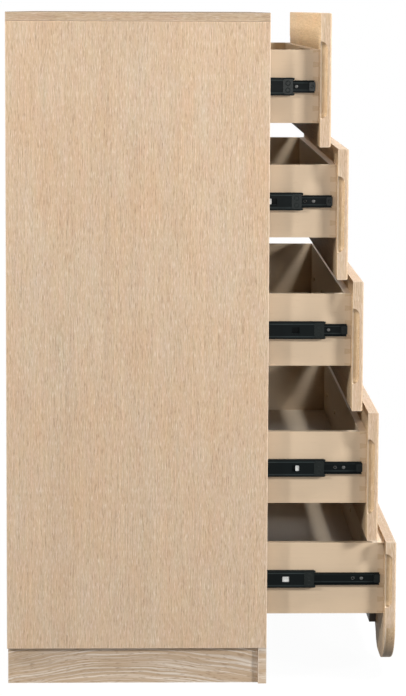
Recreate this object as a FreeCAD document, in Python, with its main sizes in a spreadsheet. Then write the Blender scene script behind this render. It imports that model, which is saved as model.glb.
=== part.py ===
import FreeCAD, Part
import os
import re
import Sketcher

# A tall chest of five full-overlay drawers on a recessed plinth, all in millimetres.
# +Z is up, the drawers open towards -Y, and the origin is on the floor under the middle of the case.
# The drawers stand where they are when each is pulled out a little further than the one above it.

SIZES = {
    # Case
    "case_wide": 950,            # over the side panels
    "case_deep": 520,            # side panel, front edge to back edge
    "case_high": 1345,           # floor to the top face
    "panel_thick": 19,           # sides, bottom and cross rails
    "top_thick": 18,
    "edge_ease": 1,              # on the outer edges of the sides and the top
    "back_thick": 6,
    "back_lap": 9,               # width of the rebate that the back panel lies in
    "housing_deep": 6,           # how far rails and bottom are let into the sides
    "bottom_setback": 20,        # front edge of the bottom panel behind the case's front
    "tongue_thick": 8,           # tongue of a side panel, let into the top
    "tongue_high": 7,
    "tongue_stop": 20,           # the tongue ends this far from each edge
    "rail_deep": 70,             # cross rails, front to back
    # Plinth
    "plinth_high": 73,
    "plinth_thick": 17,
    "plinth_inset": 10,          # side boards behind the side panels' outer faces
    "plinth_end_inset": 2,       # ends of the front board behind the same faces
    "plinth_back_inset": 1.5,
    "block_leg": 40,             # corner blocks
    "block_high": 60,
    # Drawer fronts
    "front_thick": 21,
    "front_gap": 3,
    "top_front_extra": 4,        # the top front is this much taller than the others
    "foot_clear": 29,            # floor to the feet of the bottom front
    "closing_gap": 2,            # closed front to the case's front edge
    "arris_round": 4,
    "cove_round": 13,            # finger pull scooped out of each end of a front
    "cove_long": 152,
    "low_cove_long": 110,        # on the bottom front
    "low_cove_drop": 24,         # its upper end below the front's top edge
    "foot_round": 93,            # lower corners of the bottom front
    "foot_wide": 155,            # side to where the foot turns up to the apron
    "apron_lean": 33,            # run of the slope between foot and apron
    "apron_round": 47,           # rounding at both ends of that slope
    "apron_clear": 2,            # apron above the plinth
    # Drawer boxes
    "drawer_long": 450,          # boxes and their slides
    "box_short": 115,            # how much lower a box is than its front
    "box_board": 14,
    "base_thick": 6,
    "base_rise": 12,             # box's lower edge to the base
    "groove_deep": 6,
    "tail_count": 5,             # dovetails on each corner
    "pin_narrow": 8,             # pin between two tails, at the end of the side
    "pin_flare": 2,              # how much wider it is on each side at the tail's root
    "cleat_thick": 14,
    "cleat_inset": 171,          # its ends in from the sides of the bottom front
    # Slides
    "slide_thick": 12.7,         # side panel to drawer box
    "slide_setback": 8,          # closed rails behind the case's front edge
    "slide_sheet": 1.2,
    "slide_play": 0.4,           # between a rail's lips and the rail that runs in it
    "bend_round": 2,
    "case_rail_high": 45.7,
    "case_rail_deep": 10.5,
    "middle_rail_high": 35.3,
    "middle_rail_deep": 8.6,
    "middle_rail_lift": 2.4,     # side panel to the middle rail's web
    "drawer_rail_high": 24.5,
    "drawer_rail_deep": 7.6,
    "window_long": 15,           # access window in the middle rail
    "window_high": 13,
    "window_place": 57,          # rail's end to the window's middle
    # Where each drawer stands: how far it is out, its box below the top of its front,
    # and how far its middle rails have come out
    "top_opening": 97,
    "top_box_drop": 73,
    "top_middle_reach": 54,
    "second_opening": 133,
    "second_box_drop": 34,
    "second_middle_reach": 73,
    "third_opening": 165,
    "third_box_drop": 29,
    "third_middle_reach": 120,
    "fourth_opening": 198,
    "fourth_box_drop": 45,
    "fourth_middle_reach": 122,
    "bottom_opening": 236,
    "bottom_box_drop": 9,
    "bottom_middle_reach": 104,
}

# From the floor up, so that a drawer's place in the list is the number of fronts below it
DRAWERS = ("bottom", "fourth", "third", "second", "top")
FRONTS_BELOW_TOP = len(DRAWERS) - 1
SIDES = ("left", "right")

VECTOR = FreeCAD.Vector
AXIS_X = VECTOR(1, 0, 0)
AXIS_Y = VECTOR(0, 1, 0)
AXIS_Z = VECTOR(0, 0, 1)
QUARTER_TURN = 90
HALF_TURN = 180
NEAR = 1e-4

# Lines that other pieces are set out from, as formulas of the sizes above
CASE_FRONT = "-case_deep / 2"
SIDE_INNER = "(case_wide / 2 - panel_thick)"
HOUSED_LEFT = "(panel_thick - case_wide / 2 - housing_deep)"
HOUSED_WIDE = "(case_wide - 2 * panel_thick + 2 * housing_deep)"
PANEL_TOP = "(case_high - top_thick)"
BACK_INNER = "(case_deep / 2 - back_thick)"
FRONT_HIGH = f"((case_high - foot_clear - {FRONTS_BELOW_TOP} * front_gap - top_front_extra) / {len(DRAWERS)})"
BOX_WIDE = "(case_wide - 2 * panel_thick - 2 * slide_thick)"
BOX_HIGH = f"({FRONT_HIGH} - box_short)"
TAIL_PITCH = f"({BOX_HIGH} / tail_count)"
PLINTH_SIDE = "(case_wide / 2 - plinth_inset)"
PLINTH_BACK = "(case_deep / 2 - plinth_back_inset)"
APRON_RISE = "(plinth_high + apron_clear - foot_clear)"

doc = FreeCAD.newDocument("BlockFrontChest")
sheet = doc.addObject("Spreadsheet::Sheet", "Sizes")
for row, (name, size) in enumerate(SIZES.items(), start=1):
    sheet.set(f"A{row}", name)
    sheet.set(f"B{row}", str(size))
    sheet.setAlias(f"B{row}", name)
doc.recompute()

nodes = []


def formula(text):
    """The text with each size's name made into a reference to the sheet."""
    return re.sub(r"[a-z_]+", lambda word: "Sizes." + word.group(), text)


def value(text):
    return float(sheet.evalExpression(formula(text)))


def bind(thing, **formulas):
    for prop, text in formulas.items():
        thing.setExpression(prop, formula(text))


def place(thing, x, y, z, axis=AXIS_Z, turn=0):
    thing.Placement = FreeCAD.Placement(VECTOR(), FreeCAD.Rotation(axis, turn))
    for letter, text in zip("xyz", (x, y, z)):
        thing.setExpression(f"Placement.Base.{letter}", formula(text))
    return thing


def keep(label, thing):
    """Names a finished sub-part, which is written to a file of that name."""
    thing.Label = label
    nodes.append(thing)
    return thing


def board(size, corner):
    block = doc.addObject("Part::Box", "Board")
    bind(block, Length=size[0], Width=size[1], Height=size[2])
    return place(block, *corner)


def rod(radius, length, start, axis=AXIS_Z, turn=0):
    cylinder = doc.addObject("Part::Cylinder", "Rod")
    bind(cylinder, Radius=radius, Height=length)
    return place(cylinder, *start, axis, turn)


def ball(radius, centre):
    sphere = doc.addObject("Part::Sphere", "Ball")
    bind(sphere, Radius=radius)
    return place(sphere, *centre)


def fuse(members):
    union = doc.addObject("Part::MultiFuse", "Union")
    union.Shapes = members
    return union


def cut(base, tools):
    result = doc.addObject("Part::Cut", "Cut")
    result.Base = base
    result.Tool = fuse(tools) if len(tools) > 1 else tools[0]
    result.Refine = True
    return result


def group(members):
    compound = doc.addObject("Part::Compound", "Group")
    compound.Links = members
    return compound


def new_sketch(body, role, shift="0"):
    """A sketch on one of the body's own planes, moved along the plane's normal by shift."""
    sketch = body.newObject("Sketcher::SketchObject", "Sketch")
    plane = next(item for item in body.Origin.OriginFeatures if item.Role == role)
    sketch.AttachmentSupport = [(plane, "")]
    sketch.MapMode = "FlatFace"
    sketch.setExpression("AttachmentOffset.Base.z", formula(shift))
    return sketch


def outline(sketch, corners):
    """A closed outline of straight lines, each corner held by its two distances from the origin."""
    points = [VECTOR(value(x), value(y), 0) for x, y in corners]
    count = len(points)
    first = sketch.GeometryCount
    sketch.addGeometry([Part.LineSegment(points[i], points[(i + 1) % count]) for i in range(count)])
    for i in range(count):
        sketch.addConstraint(Sketcher.Constraint("Coincident", first + i, 2, first + (i + 1) % count, 1))
    for i, (point, corner) in enumerate(zip(points, corners)):
        for kind, size, text in zip(("DistanceX", "DistanceY"), point, corner):
            index = sketch.addConstraint(Sketcher.Constraint(kind, -1, 1, first + i, 1, size))
            sketch.renameConstraint(index, f"{kind}{first + i}")
            sketch.setExpression(f"Constraints.{kind}{first + i}", formula(text))
    return sketch


def rectangle(sketch, left, low, right, high):
    return outline(sketch, [(left, low), (right, low), (right, high), (left, high)])


def feature(body, kind, sketch, length, backwards=False):
    """A pad or a pocket of a sketch, along the sketch's own direction or backwards."""
    made = body.newObject(f"PartDesign::{kind}", kind)
    made.Profile = sketch
    made.Reversed = backwards
    bind(made, Length=length)
    doc.recompute()
    return made


def repeat_up(body, original, sketch, length, count):
    pattern = body.newObject("PartDesign::LinearPattern", "Pattern")
    pattern.Originals = [original]
    pattern.Direction = (sketch, ["V_Axis"])
    bind(pattern, Length=length, Occurrences=count)
    body.Tip = pattern
    doc.recompute()
    return pattern


def edges_through(shape, places):
    """Names of the straight edges along Y that pass the given (x, z) places."""
    names = []
    for number, edge in enumerate(shape.Edges, start=1):
        start, end = edge.firstVertex().Point, edge.lastVertex().Point
        along_y = abs(start.x - end.x) < NEAR and abs(start.z - end.z) < NEAR
        for x, z in places:
            if along_y and abs(start.x - value(x)) < NEAR and abs(start.z - value(z)) < NEAR:
                names.append(f"Edge{number}")
    return names


def front_face(shape):
    """Name of the flat face furthest towards -Y."""
    lowest = min(range(len(shape.Faces)), key=lambda i: shape.Faces[i].CenterOfMass.y)
    return [f"Face{lowest + 1}"]


def fillet(body, base, names, radius):
    rounded = body.newObject("PartDesign::Fillet", "Fillet")
    rounded.Base = (base, names)
    bind(rounded, Radius=radius)
    doc.recompute()
    return rounded


def chamfer(body, base, names, size):
    eased = body.newObject("PartDesign::Chamfer", "Chamfer")
    eased.Base = (base, names)
    bind(eased, Size=size)
    doc.recompute()
    return eased


class Drawer:
    """Where one drawer stands, and the formulas that its pieces are set out from."""

    def __init__(self, name, fronts_below):
        self.name = name
        self.back_face = f"(-case_deep / 2 - closing_gap - {name}_opening)"
        self.front_low = f"(foot_clear + {fronts_below} * ({FRONT_HIGH} + front_gap))"
        self.front_tall = FRONT_HIGH
        if fronts_below == FRONTS_BELOW_TOP:
            self.front_tall = f"({FRONT_HIGH} + top_front_extra)"
        self.box_low = f"({self.front_low} + {self.front_tall} - {name}_box_drop - {BOX_HIGH})"
        self.rail_middle = f"({self.box_low} + {BOX_HIGH} / 2)"
        self.rail_front = f"({self.back_face} + closing_gap + slide_setback)"
        self.middle_front = f"({CASE_FRONT} + slide_setback - {name}_middle_reach)"
        self.case_rail_front = f"({CASE_FRONT} + slide_setback)"


# Case

def cross_rails():
    """Four dividers behind the gaps between the fronts, and two stretchers under the top."""
    size = (HOUSED_WIDE, "rail_deep", "panel_thick")
    rails = []
    for below in range(1, len(DRAWERS)):
        gap_middle = f"foot_clear + {below} * ({FRONT_HIGH} + front_gap) - front_gap / 2"
        rails.append(board(size, (HOUSED_LEFT, CASE_FRONT, gap_middle)))
    for rail_front in (CASE_FRONT, f"{BACK_INNER} - rail_deep"):
        rails.append(board(size, (HOUSED_LEFT, rail_front, f"{PANEL_TOP} - panel_thick")))
    return rails


def bottom_panel():
    return board((HOUSED_WIDE, "case_deep - bottom_setback - back_thick", "panel_thick"),
                 (HOUSED_LEFT, f"{CASE_FRONT} + bottom_setback", "plinth_high"))


def back_panel():
    return board((f"2 * ({SIDE_INNER} + back_lap)", "back_thick", f"{PANEL_TOP} - plinth_high"),
                 (f"-{SIDE_INNER} - back_lap", BACK_INNER, "plinth_high"))


def tongue(left):
    return board(("tongue_thick", "case_deep - 2 * tongue_stop", "tongue_high"),
                 (f"{left} + (panel_thick - tongue_thick) / 2", f"{CASE_FRONT} + tongue_stop", PANEL_TOP))


def side_slab(side):
    """A side panel before it is cut: drawn with its outer face towards -Y and then turned to its side."""
    body = doc.addObject("PartDesign::Body", "SidePanel")
    face = rectangle(new_sketch(body, "XZ_Plane"), "0", "0", "case_deep", f"{PANEL_TOP} - plinth_high")
    slab = feature(body, "Pad", face, "panel_thick", backwards=True)
    chamfer(body, slab, front_face(slab.Shape), "edge_ease")
    if side == "left":
        return place(body, "-case_wide / 2", "case_deep / 2", "plinth_high", AXIS_Z, -QUARTER_TURN)
    return place(body, "case_wide / 2", "-case_deep / 2", "plinth_high", AXIS_Z, QUARTER_TURN)


def side_panel(side, left, let_in):
    """A side panel with its tongue, cut for everything that is let into it."""
    return cut(fuse([side_slab(side), tongue(left)]), let_in)


def top_panel(lefts):
    """The top, with eased edges at its front and ends, grooved for the tongues of the sides."""
    body = doc.addObject("PartDesign::Body", "TopPanel")
    section = rectangle(new_sketch(body, "XZ_Plane"), "0", "0", "case_wide", "top_thick")
    slab = feature(body, "Pad", section, "case_deep", backwards=True)
    ends = edges_through(slab.Shape, [(x, z) for x in ("0", "case_wide") for z in ("0", "top_thick")])
    chamfer(body, slab, front_face(slab.Shape) + ends, "edge_ease")
    place(body, "-case_wide / 2", CASE_FRONT, PANEL_TOP)
    return cut(body, [tongue(left) for left in lefts])


# Plinth

def plinth_side(left):
    """A side board, let into the back of the front board and running to the plinth's back."""
    front = f"({CASE_FRONT} + plinth_thick - housing_deep)"
    return board(("plinth_thick", f"{PLINTH_BACK} - {front}", "plinth_high"), (left, front, "0"))


def plinth_front(side_boards):
    slab = board(("case_wide - 2 * plinth_end_inset", "plinth_thick", "plinth_high"),
                 ("-case_wide / 2 + plinth_end_inset", CASE_FRONT, "0"))
    return cut(slab, side_boards)


def plinth_back():
    return board((f"2 * ({PLINTH_SIDE} - plinth_thick)", "plinth_thick", "plinth_high"),
                 (f"-{PLINTH_SIDE} + plinth_thick", f"{PLINTH_BACK} - plinth_thick", "0"))


def plinth_centre():
    front = f"({CASE_FRONT} + plinth_thick)"
    return board(("panel_thick", f"{PLINTH_BACK} - plinth_thick - {front}", "plinth_high"),
                 ("-panel_thick / 2", front, "0"))


def corner_blocks():
    """Three-cornered glue blocks in the plinth's inner corners, level with its top."""
    inner = f"({PLINTH_SIDE} - plinth_thick)"
    ahead = f"{CASE_FRONT} + plinth_thick"
    behind = f"{PLINTH_BACK} - plinth_thick"
    corners = ((f"-{inner}", ahead), (inner, ahead), (inner, behind), (f"-{inner}", behind))
    blocks = []
    for quarter, (x, y) in enumerate(corners):
        block = doc.addObject("Part::Wedge", "Block")
        bind(block, Xmin="0", Ymin="0", Zmin="0", X2min="0", X2max="0", Z2min="0",
             Xmax="block_leg", Ymax="block_leg", Zmax="block_high", Z2max="block_high")
        blocks.append(place(block, x, y, "plinth_high - block_high", AXIS_Z, quarter * QUARTER_TURN))
    return blocks


# Slides

def lipped_channel(deep, high, inner_high):
    """Section of a rail whose lips hold the rail that runs in it, with its web at zero."""
    half = f"{high} / 2"
    mouth = f"({inner_high} / 2 + slide_play)"
    inside = f"({half} - slide_sheet)"
    upper = [("slide_sheet", inside), (f"{deep} - slide_sheet", inside), (f"{deep} - slide_sheet", mouth),
             (deep, mouth), (deep, half), ("0", half)]
    return [(x, f"-{z}") for x, z in reversed(upper)] + upper


def plain_channel(deep, high):
    half = f"{high} / 2"
    inside = f"({half} - slide_sheet)"
    upper = [("slide_sheet", inside), (deep, inside), (deep, half), ("0", half)]
    return [(x, f"-{z}") for x, z in reversed(upper)] + upper


def rail(section, high, front_end, turned):
    """A rail of one section, from its front end back; turned about its length for the other hand."""
    body = doc.addObject("PartDesign::Body", "Rail")
    profile = outline(new_sketch(body, "XZ_Plane"), section)
    length = feature(body, "Pad", profile, "drawer_long", backwards=True)
    bends = edges_through(length.Shape, [("0", f"{high} / 2"), ("0", f"-{high} / 2")])
    fillet(body, length, bends, "bend_round")
    return place(body, *front_end, AXIS_Y, HALF_TURN if turned else 0)


def case_rail(drawer, side):
    web = f"-{SIDE_INNER}" if side == "left" else SIDE_INNER
    section = lipped_channel("case_rail_deep", "case_rail_high", "middle_rail_high")
    front_end = (web, drawer.case_rail_front, drawer.rail_middle)
    return rail(section, "case_rail_high", front_end, side == "right")


def middle_rail(drawer, side):
    web = f"(middle_rail_lift - {SIDE_INNER})" if side == "left" else f"({SIDE_INNER} - middle_rail_lift)"
    web_low = web if side == "left" else f"{web} - slide_sheet"
    section = lipped_channel("middle_rail_deep", "middle_rail_high", "drawer_rail_high")
    front_end = (web, drawer.middle_front, drawer.rail_middle)
    made = rail(section, "middle_rail_high", front_end, side == "right")
    windows = [board(("slide_sheet", "window_long", "window_high"),
                     (web_low, f"{drawer.middle_front} + {middle} - window_long / 2",
                      f"{drawer.rail_middle} - window_high / 2"))
               for middle in ("window_place", "drawer_long - window_place")]
    return cut(made, windows)


def drawer_rail(drawer, side):
    web = f"-{BOX_WIDE} / 2" if side == "left" else f"{BOX_WIDE} / 2"
    section = plain_channel("drawer_rail_deep", "drawer_rail_high")
    front_end = (web, drawer.rail_front, drawer.rail_middle)
    return rail(section, "drawer_rail_high", front_end, side == "left")


# Drawers

def coves(drawer):
    """The round-ended scoops in both ends of a front, one on each back arris."""
    low = f"{drawer.front_low} + {drawer.front_tall} / 2 - cove_long / 2"
    long = "cove_long"
    if drawer.name == "bottom":
        low = f"{drawer.front_low} + {drawer.front_tall} - low_cove_drop - low_cove_long"
        long = "low_cove_long"
    scoops = []
    for x in ("-case_wide / 2", "case_wide / 2"):
        lower = (x, drawer.back_face, f"{low} + cove_round")
        upper = (x, drawer.back_face, f"{low} + {long} - cove_round")
        scoops.append(rod("cove_round", f"{long} - 2 * cove_round", lower))
        scoops += [ball("cove_round", lower), ball("cove_round", upper)]
    return scoops


def drawer_front(drawer):
    body = doc.addObject("PartDesign::Body", "Front")
    slab = rectangle(new_sketch(body, "XZ_Plane"), "0", "0", "case_wide", drawer.front_tall)
    shaped = feature(body, "Pad", slab, "front_thick")
    if drawer.name == "bottom":
        shaped = feet_and_apron(body)
    fillet(body, shaped, front_face(shaped.Shape), "arris_round")
    place(body, "-case_wide / 2", drawer.back_face, drawer.front_low)
    return cut(body, coves(drawer))


def feet_and_apron(body):
    """Rounds the lower corners and cuts the space between the feet, with its sloping, rounded ends."""
    low_left, low_right = "foot_wide", "case_wide - foot_wide"
    high_left, high_right = "foot_wide + apron_lean", "case_wide - foot_wide - apron_lean"
    space = outline(new_sketch(body, "XZ_Plane"), [(low_left, "0"), (low_right, "0"),
                                                   (high_right, APRON_RISE), (high_left, APRON_RISE)])
    opened = feature(body, "Pocket", space, "front_thick", backwards=True)
    corners = edges_through(opened.Shape, [("0", "0"), ("case_wide", "0")])
    footed = fillet(body, opened, corners, "foot_round")
    bends = edges_through(footed.Shape, [(low_left, "0"), (low_right, "0"),
                                         (high_left, APRON_RISE), (high_right, APRON_RISE)])
    return fillet(body, footed, bends, "apron_round")


def place_in_box(body, drawer, turned):
    """Sets a box board at the box's front left corner or, turned half round, at its back right one."""
    if turned:
        box_back = f"{drawer.back_face} + drawer_long"
        return place(body, f"{BOX_WIDE} / 2", box_back, drawer.box_low, AXIS_Z, HALF_TURN)
    return place(body, f"-{BOX_WIDE} / 2", drawer.back_face, drawer.box_low)


def drawer_side(drawer, side):
    """A box side with tails at both ends, cut from a board whose outer face is at zero."""
    body = doc.addObject("PartDesign::Body", "Side")
    slab = rectangle(new_sketch(body, "YZ_Plane"), "0", "0", "drawer_long", BOX_HIGH)
    feature(body, "Pad", slab, "box_board")
    half_end, half_root = "pin_narrow / 2", "(pin_narrow / 2 + pin_flare)"
    sockets = new_sketch(body, "YZ_Plane")
    for end, root in (("0", "box_board"), ("drawer_long", "drawer_long - box_board")):
        outline(sockets, [(end, f"-{half_end}"), (root, f"-{half_root}"),
                          (root, half_root), (end, half_end)])
    socket_pocket = feature(body, "Pocket", sockets, "box_board", backwards=True)
    repeat_up(body, socket_pocket, sockets, BOX_HIGH, "tail_count + 1")
    groove_end = "(box_board - groove_deep)"
    groove = rectangle(new_sketch(body, "YZ_Plane", "box_board"), groove_end, "base_rise",
                       f"drawer_long - {groove_end}", "base_rise + base_thick")
    feature(body, "Pocket", groove, "groove_deep")
    return place_in_box(body, drawer, side == "right")


def box_end(drawer, at_back):
    """A box front or back: a board with pins at both ends, its outer face at zero."""
    body = doc.addObject("PartDesign::Body", "BoxEnd")
    slab = rectangle(new_sketch(body, "XZ_Plane"), "0", "0", BOX_WIDE, BOX_HIGH)
    feature(body, "Pad", slab, "box_board", backwards=True)
    end_low, root_low = "pin_narrow / 2", "(pin_narrow / 2 + pin_flare)"
    end_high, root_high = f"{TAIL_PITCH} - pin_narrow / 2", f"{TAIL_PITCH} - pin_narrow / 2 - pin_flare"
    tail = [("0", end_low), ("box_board", root_low), ("box_board", root_high), ("0", end_high)]
    for shift, backwards in (("0", True), (BOX_WIDE, False)):
        socket = outline(new_sketch(body, "YZ_Plane", shift), tail)
        socket_pocket = feature(body, "Pocket", socket, "box_board", backwards)
        repeat_up(body, socket_pocket, socket, f"{BOX_HIGH} - {TAIL_PITCH}", "tail_count")
    groove_end = "(box_board - groove_deep)"
    groove = rectangle(new_sketch(body, "XZ_Plane", "-box_board"), groove_end, "base_rise",
                       f"{BOX_WIDE} - {groove_end}", "base_rise + base_thick")
    feature(body, "Pocket", groove, "groove_deep", backwards=True)
    return place_in_box(body, drawer, at_back)


def drawer_base(drawer):
    edge = "(box_board - groove_deep)"
    left, front = f"-{BOX_WIDE} / 2 + {edge}", f"{drawer.back_face} + {edge}"
    return board((f"{BOX_WIDE} - 2 * {edge}", f"drawer_long - 2 * {edge}", "base_thick"),
                 (left, front, f"{drawer.box_low} + base_rise"))


def cleat(drawer):
    """The batten that stiffens the low front, from the apron's level up to the box."""
    low = "(plinth_high + apron_clear)"
    return board(("case_wide - 2 * cleat_inset", "cleat_thick", f"{drawer.box_low} - {low}"),
                 ("-case_wide / 2 + cleat_inset", drawer.back_face, low))


def build_drawer(drawer):
    """All pieces of one drawer, and its middle rails."""
    prefix = f"{drawer.name}_drawer"
    keep(f"{prefix}_front", drawer_front(drawer))
    keep(f"{prefix}_box_front", box_end(drawer, False))
    keep(f"{prefix}_box_back", box_end(drawer, True))
    for side in SIDES:
        keep(f"{prefix}_{side}_side", drawer_side(drawer, side))
    keep(f"{prefix}_base", drawer_base(drawer))
    keep(f"{prefix}_slide_rails", group([drawer_rail(drawer, side) for side in SIDES]))
    keep(f"{drawer.name}_middle_slide_rails", group([middle_rail(drawer, side) for side in SIDES]))
    if drawer.name == "bottom":
        keep(f"{prefix}_cleat", cleat(drawer))


def build_plinth():
    left, right = f"-{PLINTH_SIDE}", f"{PLINTH_SIDE} - plinth_thick"
    keep("plinth_left_board", plinth_side(left))
    keep("plinth_right_board", plinth_side(right))
    keep("plinth_front_board", plinth_front([plinth_side(left), plinth_side(right)]))
    keep("plinth_back_board", plinth_back())
    keep("plinth_centre_rail", plinth_centre())
    keep("plinth_corner_blocks", group(corner_blocks()))


def build_case(drawers):
    rails = [case_rail(drawer, side) for drawer in drawers for side in SIDES]
    keep("case_slide_rails", group(rails))
    lefts = {"left": "-case_wide / 2", "right": SIDE_INNER}
    for side in SIDES:
        let_in = cross_rails() + [bottom_panel(), back_panel()]
        keep(f"{side}_side_panel", side_panel(side, lefts[side], let_in))
    keep("top_panel", top_panel(lefts.values()))
    keep("bottom_panel", bottom_panel())
    keep("back_panel", back_panel())
    keep("cross_rails", group(cross_rails()))


def write_parts():
    """Stops at anything that failed, then writes each sub-part to a file named after it."""
    doc.recompute()
    for thing in doc.Objects:
        if "Invalid" in thing.State or "Error" in thing.State:
            raise RuntimeError(f"{thing.Label} failed: {thing.State}")
    os.makedirs("parts", exist_ok=True)
    for node in nodes:
        if node.Shape.isNull() or not node.Shape.isValid():
            raise RuntimeError(f"{node.Label} has no valid shape")
    for node in nodes:
        node.Shape.exportStep(f"parts/{node.Label}.step")
    print(f"{len(nodes)} sub-parts written")


all_drawers = [Drawer(name, below) for below, name in enumerate(DRAWERS)]
build_plinth()
build_case(all_drawers)
for one_drawer in all_drawers:
    build_drawer(one_drawer)
write_parts()
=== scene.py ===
import math

import bmesh
import bpy
from mathutils import Matrix, Vector


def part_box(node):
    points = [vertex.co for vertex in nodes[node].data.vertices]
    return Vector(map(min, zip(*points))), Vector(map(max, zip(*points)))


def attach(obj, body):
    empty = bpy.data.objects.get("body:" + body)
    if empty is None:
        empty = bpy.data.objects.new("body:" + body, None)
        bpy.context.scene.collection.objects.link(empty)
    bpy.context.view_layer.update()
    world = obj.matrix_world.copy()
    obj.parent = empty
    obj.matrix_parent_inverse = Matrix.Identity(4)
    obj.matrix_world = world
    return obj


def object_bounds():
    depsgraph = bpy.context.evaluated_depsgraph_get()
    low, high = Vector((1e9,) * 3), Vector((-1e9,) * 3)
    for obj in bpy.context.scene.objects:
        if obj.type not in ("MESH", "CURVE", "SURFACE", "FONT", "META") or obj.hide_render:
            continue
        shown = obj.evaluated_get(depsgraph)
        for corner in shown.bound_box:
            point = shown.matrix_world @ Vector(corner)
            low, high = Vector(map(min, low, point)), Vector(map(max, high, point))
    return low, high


# Looks for a tall limed-oak chest whose drawers stand open in steps. Everything is in metres.

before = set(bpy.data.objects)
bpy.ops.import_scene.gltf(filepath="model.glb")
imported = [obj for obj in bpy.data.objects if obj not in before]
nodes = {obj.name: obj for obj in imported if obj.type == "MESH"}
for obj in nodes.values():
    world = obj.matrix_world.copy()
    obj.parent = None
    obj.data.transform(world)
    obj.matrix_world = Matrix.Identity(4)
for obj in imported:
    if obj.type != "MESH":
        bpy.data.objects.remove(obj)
cad_low, cad_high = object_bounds()

MM = 0.001
DRAWERS = ("top", "second", "third", "fourth", "bottom")
SIDES = ("left", "right")
CLEAT_NODE = "bottom_drawer_cleat"

# Camera, at the left side of the chest and level with its top
CAMERA_PLACE = Vector((-4.5146, -0.0349, 1.3521))
CAMERA_YAW = math.radians(-1.325)
CAMERA_DOWN = math.radians(4.589)
CAMERA_ROLL = math.radians(0.245)
CAMERA_LENS = 106.50
CAMERA_SHIFT_Y = -0.25

# Light: soft boxes around the chest, and a weak sky
SOFT_BOXES = (
    # name, place, size, watts, colour
    ("front_box", (-3.39, -4.71, 2.53), 1.00, 250.0, (1.0, 0.985, 0.97)),
    ("high_box", (-1.25, -3.35, 6.40), 1.60, 545.0, (1.0, 0.99, 0.97)),
    ("camera_box", (-4.25, -0.80, 1.22), 0.35, 25.0, (1.0, 0.99, 0.98)),
    ("left_box", (-3.90, 4.93, 3.30), 0.70, 182.0, (1.0, 0.99, 0.98)),
    ("back_box", (-0.90, 2.80, 3.40), 1.20, 138.0, (1.0, 0.94, 0.81)),
    ("right_box", (3.20, -1.60, 2.10), 1.60, 34.0, (1.0, 0.985, 0.96)),
    ("overhead_box", (0.32, 0.00, 3.36), 2.00, 8.0, (1.0, 0.985, 0.96)),
)
SKY_STRENGTH = 0.03
SKY_COLOUR = (1.0, 0.99, 0.98)
WHITE = (1.0, 1.0, 1.0)
FLOOR_REACH = 30.0
FLOOR_SHADE = (0.12, 0.12, 0.12)     # what the floor throws back at the chest
FLOOR_SHOWN = (0.90, 0.90, 0.90)     # what is seen of it
FLOOR_WHITE = 0.97                   # how much of that is plain white beside the chest
FLOOR_FADE = (1.0, 2.2)              # and from here to here it turns all white
FLOOR_ROUGHNESS = 0.9
FLOOR_GLOSS = 0.0

# Colours, linear
VENEER = (0.560, 0.412, 0.284)
VENEER_LIME = (0.725, 0.605, 0.485)
VENEER_PORE = (0.290, 0.185, 0.108)
# Painted shade at the foot of the drawer fronts
VENEER_WORN = (0.230, 0.190, 0.150)
PLINTH = (0.520, 0.385, 0.264)
PLINTH_LIME = (0.740, 0.655, 0.565)
PLINTH_PORE = (0.312, 0.204, 0.120)
BOX = (0.606, 0.464, 0.319)
BOX_LIGHT = (0.655, 0.518, 0.376)
BOX_DARK = (0.490, 0.335, 0.195)
BOX_END = (0.480, 0.330, 0.190)
# The paler inside faces of the drawer boxes are painted light
BOX_INSIDE = (0.715, 0.575, 0.412)
BASE_INSIDE = (0.630, 0.525, 0.400)
BACK = (0.500, 0.365, 0.235)
BACK_LIGHT = (0.720, 0.575, 0.420)
# The cleat's near-black is painted shade, for where it sits in shadow under the bottom drawer's box
CLEAT = (0.060, 0.043, 0.030)
CLEAT_DARK = (0.020, 0.015, 0.011)
STEEL_BLACK = (0.0023, 0.0040, 0.0043)
STEEL_WORN = (0.022, 0.026, 0.027)
# Painted highlight along the rails' lips
STEEL_RUBBED = (0.040, 0.052, 0.053)
ZINC = (0.120, 0.120, 0.115)
YELLOW_ZINC = (0.640, 0.480, 0.290)
NYLON = (0.620, 0.630, 0.620)
KEEPER = (0.0100, 0.0130, 0.0125)

# The part of its normal past which a face counts as facing a way, facing up or facing back
SIDE_FACING = 0.5
UPPER_FACING = 0.7
BACK_FACING = 0.95


class NodeTree:
    """A tree of shader nodes, with short ways to add and join them."""

    def __init__(self, tree):
        self.tree = tree

    def add(self, kind, inputs=None, **settings):
        node = self.tree.nodes.new(kind)
        for key, setting in settings.items():
            setattr(node, key, setting)
        for key, source in (inputs or {}).items():
            self.feed(node.inputs[key], source)
        return node

    def feed(self, socket, source):
        if isinstance(source, bpy.types.NodeSocket):
            self.tree.links.new(source, socket)
        else:
            socket.default_value = source

    def math(self, operation, first, second=0.0):
        return self.add("ShaderNodeMath", {0: first, 1: second}, operation=operation).outputs[0]

    def shows_background(self):
        """1 for the rays that show the background: the camera's, and those off gloss or through glass."""
        path = self.add("ShaderNodeLightPath").outputs
        shown = path["Is Camera Ray"]
        for ray in ("Is Glossy Ray", "Is Transmission Ray"):
            shown = self.math("MAXIMUM", shown, path[ray])
        return shown


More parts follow.
